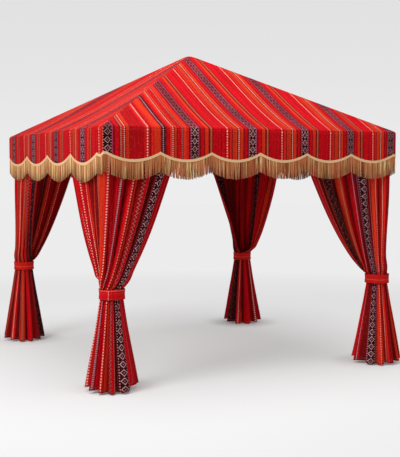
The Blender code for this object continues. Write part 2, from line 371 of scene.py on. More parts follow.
# The rest of each curtain's cloth
SIDE = [
    (60, CRIMSON), (40, WINE), (30, ORANGE), (46, RED, "beads"), (60, MAROON), (36, WINE),
    (66, ORANGE), (40, DARK, "specks"), (20, SCARLET), (24, SCARLET, "pearls"), (16, SCARLET),
    (40, WINE), (44, DARK, "beads"), (80, MAROON), (30, WINE, "dashes"), (54, ORANGE),
    (36, RED, "beads"),
]
MOTIFS = ["", "diamond", "beads", "specks", "dots", "zigzag", "pearls", "dashes", "painted_shade_patches"]
MOTIF_SCALE = 10.0  # a motif's number over this goes into a colour channel
OTHER_EVERY = 5.0  # repeats from one of the other stripes to the next
RIB, WEB_RIB = 0.0032, 0.0024  # spacing of the ribs in the cloths and in the webbing
LAP_WIDTH = 0.013  # sewn edge of a cloth
FADE_REACH = 0.04  # the canopy fades over this much on each side of the fold
STITCH_IN, STITCH_HALF, STITCH_STEP = 0.0100, 0.0011, 0.009


def stripe_stops(stripes):
    """Colour stops, and stops that hold each stripe's motif, middle and width."""
    total = sum(s[0] for s in stripes)
    colours, motifs, at = [], [], 0.0
    for i, (width, colour, *woven) in enumerate(stripes):
        motif = woven[0] if woven else ""
        share = width / total
        middle, wide = at + share / 2, share
        if i == 0 and motif:
            middle, wide = 0.0, 2 * share
        elif i == len(stripes) - 1 and motif:
            middle, wide = 1.0, 2 * share
        colours.append((at, colour))
        motifs.append((at, (MOTIFS.index(motif) / MOTIF_SCALE, middle, wide)))
        at += share
    return colours, motifs


def striped_cloth(title, stripes, other, sunned=False):
    """Woven cloth. UV map Cloth gives stripe repeats and metres along the warp,
    and UV map Seam the distance from a sewn edge and the distance along it.
    The other stripes are used in every fifth repeat, from the first."""
    g = Graph(title, 0.86)
    u, v = g.uv("Cloth")
    whole, part = g.math("FLOOR", u), g.math("FRACT", u)
    base, code = (g.ramp(part, stops, "CONSTANT") for stops in stripe_stops(stripes))
    is_other = g.below(g.math("FLOORED_MODULO", whole, OTHER_EVERY), 0.5)
    colours, motifs = stripe_stops(other)
    base = g.mix(is_other, base, g.ramp(part, colours, "CONSTANT"))
    code = g.mix(is_other, code, g.ramp(part, motifs, "CONSTANT"))
    kind, middle, wide = g.split(code)
    kind = g.times(kind, MOTIF_SCALE)
    x = g.over(g.minus(part, middle), wide)
    ax = g.math("ABSOLUTE", x)

    def beat(step):
        """From -0.5 to 0.5 along the warp, again every step metres."""
        return g.minus(g.math("FRACT", g.over(v, step)), 0.5)

    def is_kind(motif):
        return g.math("COMPARE", kind, float(MOTIFS.index(motif)), 0.4)

    def round_dot(step, across, along, side=0.0):
        """Dots again every step metres, with their half sizes in shares of the stripe's
        width and of the step, and side out from the middle of the stripe."""
        y = g.over(beat(step), along)
        near = g.over(g.minus(ax, side), across)
        size = g.plus(g.math("POWER", near, 2.0), g.times(y, y))
        return g.below(size, 1.0)

    yd = g.math("ABSOLUTE", beat(0.069))
    d = g.plus(g.times(ax, 2.5), g.times(yd, 2.0))
    ring = g.both(g.above(d, 0.70), g.below(d, 0.88))
    inner = g.both(g.above(d, 0.32), g.below(d, 0.46))
    core = g.below(d, 0.18)
    studs = round_dot(0.023, 0.045, 0.20, 0.42)
    if sunned:
        faded = g.spread(g.noise(g.place(), 1.1, 2.0), 0.40, 0.60, 0.35, 0.80)
        faded = g.both(is_kind("diamond"), g.below(v, SLOPE_LENGTH), faded)
        base = g.mix(faded, base, FADED)
    fade = g.spread(g.noise(g.place(), 1.7, 2.0), 0.40, 0.62, 0.45 if sunned else 0.70, 1.0)
    if sunned:
        fold = g.spread(v, SLOPE_LENGTH - FADE_REACH, SLOPE_LENGTH + FADE_REACH, 0.42, 1.0)
        fade = g.both(fade, fold)
    # Random patches of the dim diamond motif, which is painted shade
    painted_shade_patches = g.above(g.noise(g.place(), 70.0, 2.0), 0.50)
    for motif, mask, colour in (
        ("diamond", g.both(ring, fade), ASH),
        ("diamond", inner, PLUM),
        ("diamond", core, ROSE),
        ("diamond", g.both(studs, fade), CREAM),
        ("painted_shade_patches", g.both(ring, painted_shade_patches), PAINTED_SHADE_RING),
        ("painted_shade_patches", g.both(studs, painted_shade_patches), PAINTED_SHADE_STUD),
        ("beads", round_dot(0.024, 0.20 if sunned else 0.17, 0.29), CREAM),
        ("specks", round_dot(0.015, 0.20, 0.32), GREY),
        ("dots", round_dot(0.022, 0.07, 0.28, 0.20), BROWN),
        ("dots", g.above(ax, 0.44), AMBER),
        ("pearls", round_dot(0.017, 0.24, 0.34), SHELL),
        ("dashes", round_dot(0.018, 0.22, 0.34), MAUVE),
    ):
        base = g.mix(g.both(is_kind(motif), mask), base, colour)
    swing = g.times(g.minus(g.math("ABSOLUTE", beat(0.034)), 0.25), 1.5)
    line = g.near(x, swing, 0.10)
    base = g.mix(g.both(is_kind("zigzag"), line), base, CORAL)

    length = sum(s[0] for s in stripes) / 1000
    fine = g.yarn(g.times(u, 380 * length), g.times(v, 5.0), 4.0, 0.6)
    broad = g.yarn(g.times(u, 110 * length), g.times(v, 1.2), 2.0)
    slub = g.yarn(g.times(u, 160 * length), g.times(v, 38.0), 2.0)
    base = g.mix(g.spread(slub, 0.56, 0.72, 0.0, 0.34), base, SLUB)
    base = g.mix(g.spread(slub, 0.46, 0.28, 0.0, 0.56), base, WINE)
    wear = g.noise(g.place(), 2.2, 3.0)
    tone = g.times(g.spread(fine, 0.3, 0.7, 0.82, 1.15), g.spread(broad, 0.32, 0.68, 0.78, 1.15))
    tone = g.times(tone, g.spread(wear, 0.3, 0.7, 0.93, 1.06))
    rib = g.math("SINE", g.times(v, 2 * math.pi / RIB))
    tone = g.plus(tone, g.times(rib, 0.035))
    colour = g.shaded(base, tone)
    height = g.plus(g.times(rib, 0.3), g.times(fine, 0.7))
    edge, along = g.uv("Seam")
    lap = g.below(edge, LAP_WIDTH)
    stitch = g.both(g.near(edge, STITCH_IN, STITCH_HALF),
                    g.below(g.math("FRACT", g.over(along, STITCH_STEP)), 0.6))
    height = g.plus(height, g.times(lap, 1.4))
    colour = g.mix(g.times(lap, 0.18), colour, WINE)
    colour = g.mix(g.times(stitch, 0.14), colour, CREAM)
    g.surface(colour, g.spread(fine, 0.3, 0.7, 0.80, 0.93), 0.05)
    g.bump(height, 0.35, 0.0008)
    return g.material


def tie_cloth():
    """Red webbing. UV map Cloth gives metres along it, and its height: from 0 to 1 with
    lines near both edges, and from 1 to 2 with one line near the middle."""
    g = Graph("tie_cloth", 0.8)
    u, v = g.uv("Cloth")
    other = g.above(v, 1.0)
    height = g.minus(v, other)
    # The band darkens towards its lower edge: painted shade
    base = g.ramp(height, [
        (0.0, DARK), (0.06, CRIMSON), (0.40, CRIMSON), (0.55, RED), (0.64, CRIMSON), (0.94, RED),
    ])
    base = g.mix(g.times(other, 0.6), base, WEBBING)
    dash = g.below(g.math("FRACT", g.over(u, 0.021)), 0.66)
    for at, reach, strength, colour in (
        (0.90, 0.035, dash, SALMON),
        (0.66, 0.018, 0.4, GLOW),
        (1.40, 0.030, dash, PEACH),
        (0.10, 0.015, 0.3, RUST),
    ):
        base = g.mix(g.times(g.near(v, at, reach), strength), base, colour)
    seam = g.below(g.math("ABSOLUTE", u), 0.0018)
    dots = g.below(g.math("FRACT", g.times(v, 9.0)), 0.55)
    base = g.mix(g.times(seam, dots), base, STITCH)
    yarn = g.yarn(g.times(u, 60.0), g.times(v, 60.0), 4.0)
    colour = g.shaded(base, g.spread(yarn, 0.3, 0.7, 0.86, 1.12))
    g.surface(colour, g.spread(yarn, 0.3, 0.7, 0.72, 0.88), 0.08)
    rib = g.math("SINE", g.times(u, 2 * math.pi / WEB_RIB))
    g.bump(g.plus(rib, yarn), 0.4, 0.0006)
    return g.material


def braid_cloth():
    """Woven tan braid: a flat herringbone between two corded edges."""
    g = Graph("braid_cloth", 0.72)
    u, v = g.uv("Cloth")
    side = g.math("ABSOLUTE", g.minus(v, 0.5))
    slant = g.plus(g.over(u, 0.007), g.times(side, 3.0))
    herring = g.math("SINE", g.times(slant, 2 * math.pi))
    tone = g.spread(herring, -1.0, 1.0, 0.0, 1.0)
    base = g.mix(tone, CORD_DARK, CORD_PALE)
    edge = g.above(side, 0.40)
    base = g.mix(g.times(edge, 0.55), base, CORD_EDGE)
    grain = g.noise(g.place(), 160.0, 3.0)
    colour = g.shaded(base, g.spread(grain, 0.3, 0.7, 0.9, 1.08))
    g.surface(colour, g.spread(grain, 0.3, 0.7, 0.62, 0.8), 0.15)
    g.bump(g.plus(tone, grain), 0.5, 0.0008)
    return g.material


def fringe_thread():
    """Twisted gold and tan threads, each with its own pick of the tones. A pick of 2 or more
    belongs to the left and right sides, which are painted more golden and lighter, as lit sides,
    while the front and back keep more red patches, a painted red bounce light."""
    g = Graph("fringe_thread", 0.6)
    pick, along = g.uv("Cloth")
    painted_light_sides = g.above(pick, 1.5)
    pick = g.minus(pick, g.times(painted_light_sides, 2.0))
    base = g.ramp(pick, THREAD_TONES)
    patch = g.spread(g.noise(g.place(), 8.0, 2.0), 0.40, 0.60, 0.0, 0.62)
    # Fewer red patches on the left and right sides: painted light there, and painted red bounce
    # light on the front and back
    patch = g.times(patch, g.minus(1.0, g.times(painted_light_sides, 0.8)))
    base = g.mix(patch, base, THREAD_RED)
    foot = g.spread(along, 0.0, 1.0, 0.90, 1.06)
    twist = g.math("SINE", g.times(g.plus(along, pick), 2 * math.pi * 34))
    tone = g.plus(foot, g.times(twist, 0.06))
    g.surface(g.shaded(base, tone), g.spread(twist, -1.0, 1.0, 0.5, 0.68), 0.2)
    g.bump(twist, 0.4, 0.0006)
    return g.material


def galvanised():
    g = Graph("galvanised_steel", 0.4)
    g.shader.inputs["Metallic"].default_value = 1.0
    spangle = g.node("TexVoronoi")
    g.link(90.0, spangle.inputs["Scale"])
    g.link(g.place(), spangle.inputs["Vector"])
    cell = g.split(spangle.outputs["Color"])[0]
    stain = g.noise(g.place(), 9.0, 5.0, 0.6)
    base = g.mix(cell, STEEL_DARK, STEEL_PALE)
    base = g.mix(g.spread(stain, 0.45, 0.75, 0.0, 0.5), base, STAIN)
    g.surface(base, g.spread(stain, 0.3, 0.7, 0.30, 0.55))
    g.bump(g.noise(g.place(), 300.0, 2.0), 0.08, 0.0004)
    return g.material


def cast_metal():
    g = Graph("cast_aluminium", 0.5)
    g.shader.inputs["Metallic"].default_value = 1.0
    grain = g.noise(g.place(), 420.0, 4.0, 0.7)
    cloud = g.noise(g.place(), 14.0, 3.0)
    g.surface(g.mix(cloud, CAST_DARK, CAST_PALE), g.spread(grain, 0.3, 0.7, 0.42, 0.66))
    g.bump(grain, 0.5, 0.0008)
    return g.material


CLOTH = striped_cloth("striped_cloth", SHORT, LONG, sunned=True)
HANGING = {
    name: striped_cloth("cloth_of_" + name, SIDE, CURTAIN_STRIPES[name]) for name in REACH
}
TIE_CLOTH, BRAID_CLOTH, THREAD = tie_cloth(), braid_cloth(), fringe_thread()
STEEL, CAST = galvanised(), cast_metal()


# Canopy, valance, braid and fringe

# Distances along the front and the back, and the place in the stripe repeats there
WIDE_BANDS = [
    (-1.5, -0.056), (-1.455, 0.0), (-0.655, 1.0), (-0.08, 2.0), (0.465, 3.0), (0.97, 4.0),
    (1.43, 5.0), (1.5, 5.088),
]
# The same on the left and the right: where repeat 1 begins, and the width of each
SIDE_START, SIDE_REPEAT = -1.30, 0.765
# Distances from a hip at which the slopes have points of their own
HIP_EDGE = np.array([0.0, 0.0032, 0.0064, 0.0096, 0.0128, 0.016, 0.03])
HIP_FULL = 0.09  # nearer the top than this, they draw together
# Shape of the hollow, which is deepest two thirds of the way down
HOLLOW_SCALE, HOLLOW_POWER = 6.2, 2.2
# Ripples of the canopy: seed, stretch up the slope, size and height
RIPPLES = ((3.1, 0.45, 0.23, 0.0030), (7.7, 0.25, 0.09, 0.0012))
# Distances from a corner at which the hanging pieces have points
CORNER_STOPS = (0.016, 0.012, 0.008, 0.004, 0)
# Ripple of the hanging pieces: radians in each metre, shift by side, share
FLUTTER = ((7.3, 1.9, 0.5), (17.1, 4.1, 0.35), (31.0, 1.0, 0.15))
# Section of the braid: height from its middle, and how proud of the valance it is
BRAID_SECTION = (
    (-0.0120, 0.0002), (-0.0122, 0.0018), (-0.0105, 0.0030), (-0.0085, 0.0024),
    (0.0, 0.0026),
    (0.0085, 0.0024), (0.0105, 0.0030), (0.0122, 0.0018), (0.0120, 0.0002),
)
# Rows of threads: step, width, how proud, least and greatest pick, share left out
THREAD_ROWS = (
    (0.0034, 0.0036, -0.0006, 0.30, 1.0, 0.10),
    # The back row takes the darkest tones: painted shade behind the front threads
    (0.0044, 0.0046, -0.0040, 0.0, 0.30, 0.15),
)
THREAD_LEVELS = np.array([0.0, 0.3, 0.65, 1.0])  # shares of a thread's length
THREAD_DEEP = 0.0011  # half its depth
THREAD_POINTS = 4 * len(THREAD_LEVELS)
TASSEL = 0.019  # mean width of a tassel
TASSEL_KINDS = 400  # tassels drawn before they repeat


def stripe_at(k, s):
    """Place in the stripe repeats at distance s along side k, from its middle."""
    if k % 2 == 0:
        return np.interp(s, *zip(*WIDE_BANDS))
    return 1.0 + (np.asarray(s) - SIDE_START) / SIDE_REPEAT


def slope_height(o):
    """Height of the slopes at distance o from the axis, rounded at the top."""
    o = np.asarray(o, float)
    rounded = APEX - SLOPE * (o * o + TIP * TIP) / (2 * TIP)
    return np.where(o < TIP, rounded, APEX - SLOPE * o)


def hollow(o, side):
    """Depth of the hollow at distance o from the axis, side from -1 to 1 across."""
    t = np.clip(o / EDGE_O, 0, 1)
    return PANEL_SAG * (1 - side * side) ** 2 * HOLLOW_SCALE * t ** HOLLOW_POWER * (1 - t)


def rounded_plan(s, o):
    """A point of a square outline of half size o, its corners rounded."""
    radius = np.minimum(TURN_R, o * 0.5)
    over = np.clip((np.abs(s) - (o - radius)) / np.maximum(radius, 1e-9), 0, 1)
    angle = over * math.pi / 4
    flat = o - radius
    new_s = np.where(over > 0, np.sign(s) * (flat + radius * np.sin(angle)), s)
    new_o = np.where(over > 0, flat + radius * np.cos(angle), o)
    return new_s, new_o


def waves(x, y, seed, size):
    """Smooth noise at each point of two arrays."""
    places = zip(x.ravel(), y.ravel())
    values = [noise.noise(Vector((a / size, b / size, seed))) for a, b in places]
    return np.array(values).reshape(x.shape)


def roof_side(k):
    """Points of one slope from the top to the foot of the fold."""
    slope_rows = np.concatenate([np.linspace(0.002, 0.06, 7), np.linspace(0.085, EDGE_O, 52)])
    fold = np.linspace(PITCH, math.pi / 2, 9)[1:]
    rows = [(o, float(slope_height(o)), math.atan(SLOPE * min(1, o / TIP))) for o in slope_rows]
    rows += [(FOLD_O + FOLD_R * math.sin(a), FOLD_Z + FOLD_R * math.cos(a), a) for a in fold]
    o, z, tilt = (np.array(column)[:, None] for column in zip(*rows))
    shrink = np.minimum(1.0, o / HIP_FULL)
    left = -(o - HIP_EDGE[None, :] * shrink)
    right = o - HIP_EDGE[None, ::-1] * shrink
    inner = np.linspace(-1, 1, 97)[1:-1]
    middle = inner[None, :] * (o - HIP_EDGE[-1] * shrink)
    s = np.concatenate([left, middle, right], axis=1)
    oo = np.broadcast_to(o, s.shape)
    from_hip = oo - np.abs(s)
    clear = np.clip(from_hip / 0.25, 0, 1) * np.clip((HALF - oo) / 0.15, 0, 1)
    ripple = sum(waves(s, oo * stretch, seed + k, size) * height
                 for seed, stretch, size, height in RIPPLES)
    lift = ripple * clear - hollow(oo, s / oo) * np.cos(tilt)
    new_s, new_o = rounded_plan(s, oo)
    new_o = new_o + np.sin(tilt) * lift
    height = z + np.cos(tilt) * lift
    x, y = turned(k, new_s, -new_o)
    steps = np.hypot(np.diff(o[:, 0]), np.diff(z[:, 0]))
    along = np.cumsum(np.concatenate([[0.0], steps]))
    cloth = uv_map(stripe_at(k, s), along[:, None])
    seam = uv_map(from_hip / math.sqrt(2), along[:, None])
    return np.stack([x, y, height], -1), cloth, seam


def sewn(name, side, nodes):
    """One cloth of the four sides that side(k) gives, welded where they meet."""
    points, cloths, seams, faces, start = [], [], [], [], 0
    for k in range(4):
        grid, cloth, seam = side(k)
        faces.append(grid_faces(*grid.shape[:2], start))
        start += len(cloth)
        points.append(grid.reshape(-1, 3))
        cloths.append(cloth)
        seams.append(seam)
    piece = make(name, np.concatenate(points), np.concatenate(faces),
                 {"Cloth": np.concatenate(cloths), "Seam": np.concatenate(seams)})
    weld(piece)
    thicken(piece, CANOPY_T)
    return finish_piece(piece, CLOTH, [nodes + f for f in FACES])


def scallops(k):
    """Ends of side k's scallops, how far each drops below the least depth, and that depth."""
    if k % 2 == 0:
        flat, count = 0.033, 6
        width = (2 * HALF - 2 * flat) / count
        stops = [-HALF] + [-HALF + flat + width * i for i in range(count + 1)] + [HALF]
        return stops, [0.0] + [0.065] * count + [0.0], 0.209
    small, count = 0.137, 4
    width = (2 * HALF - small) / count
    stops = [-HALF + width * i for i in range(count + 1)] + [HALF]
    return stops, [0.084] * count + [0.016], 0.215


def edge_height(k, s):
    """Height of the valance's lower edge, and of the braid's middle, at s along side k."""
    stops, drops, least = scallops(k)
    s = np.asarray(s, float)
    depth = np.full(s.shape, least)
    for low, high, drop in zip(stops, stops[1:], drops):
        inside = (s >= low) & (s <= high)
        part = (s - low) / (high - low)
        depth = np.where(inside, least + drop * (1 - (2 * part - 1) ** 2), depth)
    return EAVE - depth - BRAID_W / 2


def side_stops(k, step):
    """Distances along a side that include every scallop's ends."""
    stops = scallops(k)[0]
    out = []
    for low, high in zip(stops, stops[1:]):
        count = max(2, round((high - low) / step))
        out += list(np.linspace(low, high, count, endpoint=False))
    corner = [HALF - x for x in CORNER_STOPS]
    out = [s for s in out if abs(s) < HALF - 0.018] + corner + [-s for s in corner]
    return np.array(sorted(set(round(float(s), 6) for s in out)))


def flutter(k, s, z):
    """Small outward ripple of the hanging valance, more towards its edge."""
    free = np.clip((FOLD_Z - z) / 0.25, 0, 1.3)
    calm = np.clip((HALF - np.abs(s)) / 0.10, 0, 1)
    wave = sum(np.sin(s * often + k * shift) * share for often, shift, share in FLUTTER)
    return free * calm * (wave * 0.0040 - 0.001)


def on_side(k, s, z, out):
    """World points on side k at distance s, height z, out metres proud of the valance."""
    s, z, out = np.broadcast_arrays(np.asarray(s, float), z, out)
    base_s, base_o = rounded_plan(s, np.full(s.shape, HALF))
    proud = out + flutter(k, s, z)
    over = np.clip((np.abs(s) - (HALF - TURN_R)) / TURN_R, 0, 1) * math.pi / 4
    ps = base_s + np.sign(s) * np.sin(over) * proud
    po = base_o + np.cos(over) * proud
    x, y = turned(k, ps, -po)
    return np.stack([x, y, z], -1)


def valance_side(k):
    """Points of the valance on one side, from the foot of the fold to its edge."""
    s = side_stops(k, 0.012)
    t = np.linspace(0, 1, 16)[:, None]
    z = FOLD_Z + (edge_height(k, s)[None, :] - FOLD_Z) * t
    s = np.broadcast_to(s[None, :], z.shape)
    cloth = uv_map(stripe_at(k, s), ROOF_LENGTH + FOLD_Z - z)
    return on_side(k, s, z, 0.0), cloth, np.ones(cloth.shape)


def braid(k):
    s = side_stops(k, 0.010)
    middle = edge_height(k, s)
    rows = []
    cloth = []
    for i, (rise, out) in enumerate(BRAID_SECTION):
        rows.append(on_side(k, s, middle + rise, out + 0.0003))
        cloth.append(uv_map(s, i / (len(BRAID_SECTION) - 1)))
    faces = grid_faces(len(BRAID_SECTION), len(s))[:, ::-1]
    piece = make("braid_" + FACES[k] + "_sewn", np.concatenate(rows), faces,
                 {"Cloth": np.concatenate(cloth)})
    return finish_piece(piece, BRAID_CLOTH, ["braid_" + FACES[k]])


def thread_faces():
    """Faces of one thread, a four sided strand that is closed at its foot."""
    faces = []
    for level in range(len(THREAD_LEVELS) - 1):
        for i in range(4):
            a, j = level * 4, (i + 1) % 4
            faces.append((a + i, a + 4 + i, a + 4 + j, a + j))
    end = THREAD_POINTS
    return np.array(faces + [(end - 1, end - 2, end - 3, end - 4)])


def fringe(k):
    """Two rows of hanging threads, drawn together in small tassels."""
    points, maps, faces, start = [], [], [], 0
    pattern = thread_faces()
    for step, width, back, low, high, missing in THREAD_ROWS:
        s = np.arange(-HALF + 0.0015, HALF - 0.001, step)
        s = s + rng.uniform(-0.3, 0.3, len(s)) * step
        place = s / TASSEL + 0.9 * np.sin(s * 9 + k) + 0.5 * np.sin(s * 41 + k)
        tassel = np.floor(place).astype(int)
        shades = rng.uniform(-0.40, 0.24, TASSEL_KINDS)
        # The left and right sides' threads are a little lighter: painted light
        shade = shades[tassel % TASSEL_KINDS] + (0.06 if k % 2 else 0.0)
        gather = rng.uniform(0.25, 0.75, TASSEL_KINDS)[(tassel + 7) % TASSEL_KINDS]
        swing = rng.normal(0, 0.0020, TASSEL_KINDS)[(tassel + 3) % TASSEL_KINDS]
        middle = np.array([s[tassel == n].mean() for n in tassel])
        keep = rng.uniform(0, 1, len(s)) > missing
        s, shade, gather, swing, middle = (a[keep] for a in (s, shade, gather, swing, middle))
        count = len(s)
        top = edge_height(k, s) - 0.006
        length = FRINGE + 0.004 + rng.normal(0, 0.0025, count)
        length = length - np.abs(rng.normal(0, 0.0015, count))
        part = 0.5 + shade + rng.normal(0, 0.30, count)
        pick = np.clip(low + (high - low) * part, 0, 1) + 2 * (k % 2)
        sway = (middle - s) * gather + swing + rng.normal(0, 0.0026, count)
        lean = rng.normal(0, 0.0009, count)
        ring = []
        for t in THREAD_LEVELS:
            z = top - length * t
            wide = width * (1.0 - 0.10 * t) / 2
            for ds, do in ((-1, 0), (0, 1), (1, 0), (0, -1)):
                at = np.clip(s + sway * t ** 1.3 + ds * wide, -HALF, HALF)
                ring.append(on_side(k, at, z, back + lean * t + do * THREAD_DEEP))
        points.append(np.stack(ring, 0).transpose(1, 0, 2).reshape(-1, 3))
        along = np.tile(np.repeat(1 - THREAD_LEVELS, 4), count)
        maps.append(uv_map(np.repeat(pick, THREAD_POINTS), along))
        first = (np.arange(count) * THREAD_POINTS)[:, None, None]
        faces.append((pattern[None] + first).reshape(-1, 4) + start)
        start += count * THREAD_POINTS
    piece = make("fringe_" + FACES[k] + "_threads", np.concatenate(points),
                 np.concatenate(faces), {"Cloth": np.concatenate(maps)})
    return finish_piece(piece, THREAD, ["fringe_" + FACES[k]])


# Curtains, tie bands and post sleeves

# In the order of CORNERS: the angle round the gather, in degrees, at shares of the
# cloth's width
RING = (
    [(0.0, -20), (0.034, -66), (0.090, -95), (1.0, -372)],
    [(0.0, -20), (0.637, -230), (0.723, -275), (0.788, -311), (1.0, -340)],
    [(0.0, 60), (1.0, -333)],
    [(0.0, 70), (0.12, 30), (1.0, -282)],
)
# Degrees by which the cloth's two ends open above the tie
OPENING = ((0, 140), (0, 50), (26, 30), (30, 10))
# Direction of the photograph's camera, in degrees
FACING = (-111, -127, -119, -105)
# Share of the width where the widest band lies, and where the pleats begin, in pleats,
# so that this band lies on the face of one
BAND_AT = (0.061, 0.637, 0.10, 0.06)
PLEAT_START = (-0.24, -0.15, 0.1, 0.2)
# Radius of the tie band
BAND_R = dict(zip(CORNERS, (0.1100, 0.1150, 0.1062, 0.1062)))

WIDTH_SPARE = 1.04  # a curtain's width over its two reaches
PLEAT_COLS = 16  # columns of points in each pleat
CLEAR_TOP = 0.0005  # room between a curtain and the beam
# Depth of a pleat at the tie, what it gains at the hem and at the top, and what the
# widest bands lose
DEPTH_TIE, DEPTH_HEM, DEPTH_TOP, DEPTH_LOST = 0.014, 0.026, 0.030, 0.45
OWN_LEAST, OWN_MOST = -0.40, 0.25  # how much the depths of pleats differ
VALLEY = 0.62  # below 1 the valleys are narrower than the ridges
FINE_DEPTH = 0.0058  # depth of the fine pleats at the tie
SLACK_DEPTH = 0.004  # loose waves away from the tie
BOW_DEPTH = 0.010  # bulge of the cloth just above the band
DEEPEST = -0.026  # deepest valley at the corner
CORNER_OUT = 0.022  # the front right curtain stands out at the corner
EDGE_TUCK = 0.008  # the back right one's edge lies behind the other edge
HEM_LIFT, HEM_WAVE = 0.056, 0.006

LAP_TURN, LAP_T = 0.35, 0.0022  # angle of a band's lap, and how far it stands out
SEAM_TURN = 5.93  # angle along a band at which the lap begins
PATTERN_R = 0.106  # radius at which the band's pattern is laid out
SLEEVE_R, SLEEVE_REPEAT = 0.0312, 0.55


def at_corner(k, x, y, z):
    """World points at distances x and y in from the canopy's edges at corner k."""
    x, y = turned(k, -HALF + x, -HALF + y)
    return np.stack([x, y, np.broadcast_to(z, x.shape)], -1).reshape(-1, 3)


def cloth_width(name):
    """Width over which a curtain's stripes are laid out, and which its sheet declares."""
    return WIDTH_SPARE * sum(REACH[name])


def eased(x):
    """From 0 to 1, level at both ends."""
    return x * x * (3 - 2 * x)


def swell(angle):
    """From 0 at no turn to 1 at half a turn."""
    return 0.5 - 0.5 * np.cos(angle)


def hump(distance, reach, power=2):
    """1 at no distance, fading to little at twice reach."""
    return np.exp(-(distance / reach) ** power)


def top_line(u, reach_a, reach_b):
    """Plan of a curtain's top edge, along one beam, round the corner and along the other."""
    turn = TOP_TURN * math.pi / 2
    first = reach_a - TOP_IN - TOP_TURN
    second = reach_b - TOP_IN - TOP_TURN
    run = u * (first + turn + second)
    angle = np.clip((run - first) / TOP_TURN, 0, math.pi / 2)
    c = TOP_IN + TOP_TURN
    x = np.where(run <= first, reach_a - run, c - TOP_TURN * np.sin(angle))
    past = TOP_IN + TOP_TURN + run - first - turn
    y = np.where(run <= first + turn, c - TOP_TURN * np.cos(angle), past)
    return x, y


def curtain_levels(top):
    """Heights of the points, from the top to the hem, closest together near the tie."""
    return np.concatenate([
        np.linspace(top, 1.10, 34, endpoint=False),
        np.linspace(1.10, TIE_HIGH, 16, endpoint=False),
        np.linspace(TIE_HIGH, TIE_LOW, 5, endpoint=False),
        np.linspace(TIE_LOW, 0.60, 9, endpoint=False),
        np.linspace(0.60, HEM, 24),
    ])[:, None]


def gathered_line(k, u, z, spread, fall):
    """Plan of the cloth before it is pleated, and its angle round the gather."""
    radius = TIE_R + (FLARE_R - TIE_R) * fall
    ease = eased(np.clip((z - TIE_LOW - 0.02) / 0.17, 0, 1))
    open_a, open_b = OPENING[k]
    opened = open_b * np.clip((u - 0.6) / 0.4, 0, 1) - open_a * np.clip((0.4 - u) / 0.4, 0, 1)
    angle = np.radians(np.interp(u, *zip(*RING[k])) + opened * ease)
    ra, rb = TIE_IN + radius * np.cos(angle), TIE_IN + radius * np.sin(angle)
    ta, tb = top_line(u, *REACH[CORNERS[k]])
    return ra + (ta - ra) * spread, rb + (tb - rb) * spread, angle


def pleat_push(k, u, z, rise, spread, fall):
    """How far the pleats stand out from that plan, and their phase. Each main pleat has
    its own depth, and finer ones are drawn in by the tie."""
    reach_a, reach_b = REACH[CORNERS[k]]
    corner = hump(u - reach_a / (reach_a + reach_b), 0.09, 4)
    flat = hump(u - BAND_AT[k], 0.045)
    depth = (DEPTH_TIE + DEPTH_HEM * fall + DEPTH_TOP * spread) * (1 - DEPTH_LOST * flat)
    count = u * PLEATS + PLEAT_START[k]
    pleat = np.floor(count).astype(int)
    local = np.random.default_rng(CURTAIN_SEED + k)
    own = 1.0 + local.uniform(OWN_LEAST, OWN_MOST, PLEATS + 4)
    blend = swell(math.pi * (count - pleat))
    own = own[pleat + 1] * (1 - blend) + own[pleat + 2] * blend
    calm = np.clip(1 - np.abs(2 * u - 1) ** 10, 0, 1)
    drift = 0.45 * np.sin(2 * math.pi * (u * 2.3 + z * 0.30) + k)
    drift = drift + 0.25 * np.sin(2 * math.pi * (u * 5.1 - z * 0.2))
    phase = 2 * math.pi * count + drift * calm
    wave = 2 * swell(phase) ** VALLEY - 1.15 - 0.35 * spread
    fine = np.sin(phase * 3 + 1.3 * k) * FINE_DEPTH * hump(z - 0.80, 0.20)
    slack = np.sin(2 * math.pi * (u * 5.2 + z * 0.9) + k * 2) * SLACK_DEPTH
    slack = slack * (spread * (1 - rise) * 4 + fall)
    bow = BOW_DEPTH * hump(z - TIE_HIGH - 0.07, 0.055)
    push = wave * depth * own + fine + slack + bow
    return np.maximum(push, DEEPEST - 0.2 * (1 - corner)), phase


def curtain(k):
    name = CORNERS[k]
    u = np.linspace(0, 1, PLEATS * PLEAT_COLS + 1)[None, :]
    top = BEAM_LOW - CLEAR_TOP
    z = curtain_levels(top)
    rise = np.clip((z - TIE_HIGH) / (top - TIE_HIGH), 0, 1)
    fall = np.clip((TIE_LOW - z) / (TIE_LOW - HEM), 0, 1)
    full_a, full_b = FULLNESS[name]
    spread = rise ** (full_a + (full_b - full_a) * u)
    a, b, angle = gathered_line(k, u, z, spread, fall)
    da, db = np.gradient(a, axis=1), np.gradient(b, axis=1)
    size = np.hypot(da, db)
    na, nb = -db / size, da / size
    push, phase = pleat_push(k, u, z, rise, spread, fall)
    if name == "front_right":
        push = push + CORNER_OUT * np.clip(2 * na * nb, 0, 1) * spread
    if name == "back_right":
        push = push - EDGE_TUCK * np.clip(1 - u / 0.1, 0, 1) * (1 - spread)
    # The hem hangs lowest towards the camera and is lifted a little elsewhere
    turned_away = swell(angle - math.radians(FACING[k] - 90 * k))
    lift = HEM_LIFT * turned_away ** 0.6 + HEM_WAVE * np.sin(phase + 1.0)
    z = z + np.clip(lift, 0, None) * fall ** 2
    width = cloth_width(name)
    across = u * width
    seen = sum(s[0] for s in CURTAIN_STRIPES[name]) / 1000
    rest = sum(s[0] for s in SIDE)
    from_edge = width - across if name == "front_right" else across
    stripe = np.where(from_edge < seen, from_edge / seen, 1 + (from_edge - seen) / rest * 1000)
    side = np.minimum(across, width - across)
    hem = z - z[-1]
    seam = uv_map(np.minimum(side, hem) / 2, np.where(hem < side, across, z))
    piece = make("curtain_" + name + "_cloth", at_corner(k, a + na * push, b + nb * push, z),
                 grid_faces(*z.shape), {"Cloth": uv_map(stripe, ROOF_LENGTH - z), "Seam": seam})
    thicken(piece, CURTAIN_T, 0.0)
    return finish_piece(piece, HANGING[name], ["curtain_" + name])


